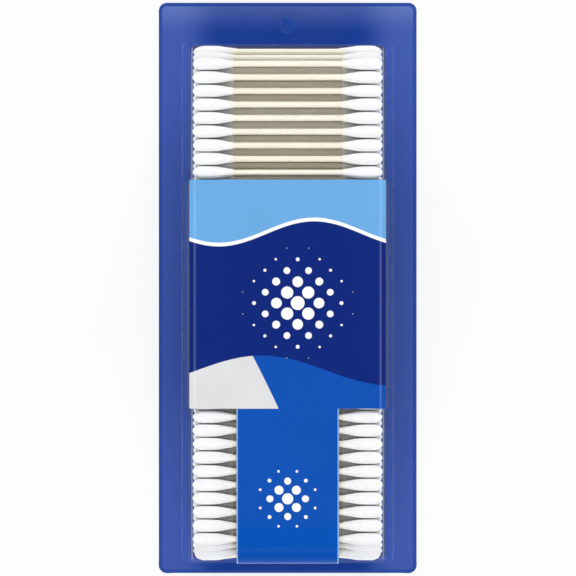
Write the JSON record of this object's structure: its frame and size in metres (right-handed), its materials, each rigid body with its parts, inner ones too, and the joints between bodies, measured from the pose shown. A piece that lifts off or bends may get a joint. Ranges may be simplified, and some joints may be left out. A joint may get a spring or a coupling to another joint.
{
  "type": "cotton swab pack",
  "caption": "Clear blister box of close-packed cotton swabs on a sliding printed card, with a wrapped label.",
  "frame": {"origin": "on the surface that the pack lies on, below the middle of the flange", "axes": "+X across the pack along the swabs, +Y up the pack towards its button, +Z out of its front"},
  "size_m": [0.108, 0.239, 0.0523],
  "materials": {
    "clear_plastic": "clear thermoformed film, glossy",
    "printed_card": "blue print, lightly coated",
    "label_film": "coated, satin",
    "paper_stick": "rolled white paper",
    "cotton": "wound cotton"
  },
  "bodies": {
    "tray": {"blister": "clear_plastic", "label": "label_film", "front_sticks": "paper_stick", "front_buds_left": "cotton", "front_buds_right": "cotton", "inner_sticks": "paper_stick", "inner_buds_left": "cotton", "inner_buds_right": "cotton"},
    "card": {"backing_card": "printed_card"}
  },
  "joints": [
    {"name": "card_slide", "type": "slide", "parent": "tray", "child": "card", "axis": [0, 1, 0], "range_m": [0, 0.2]}
  ]
}
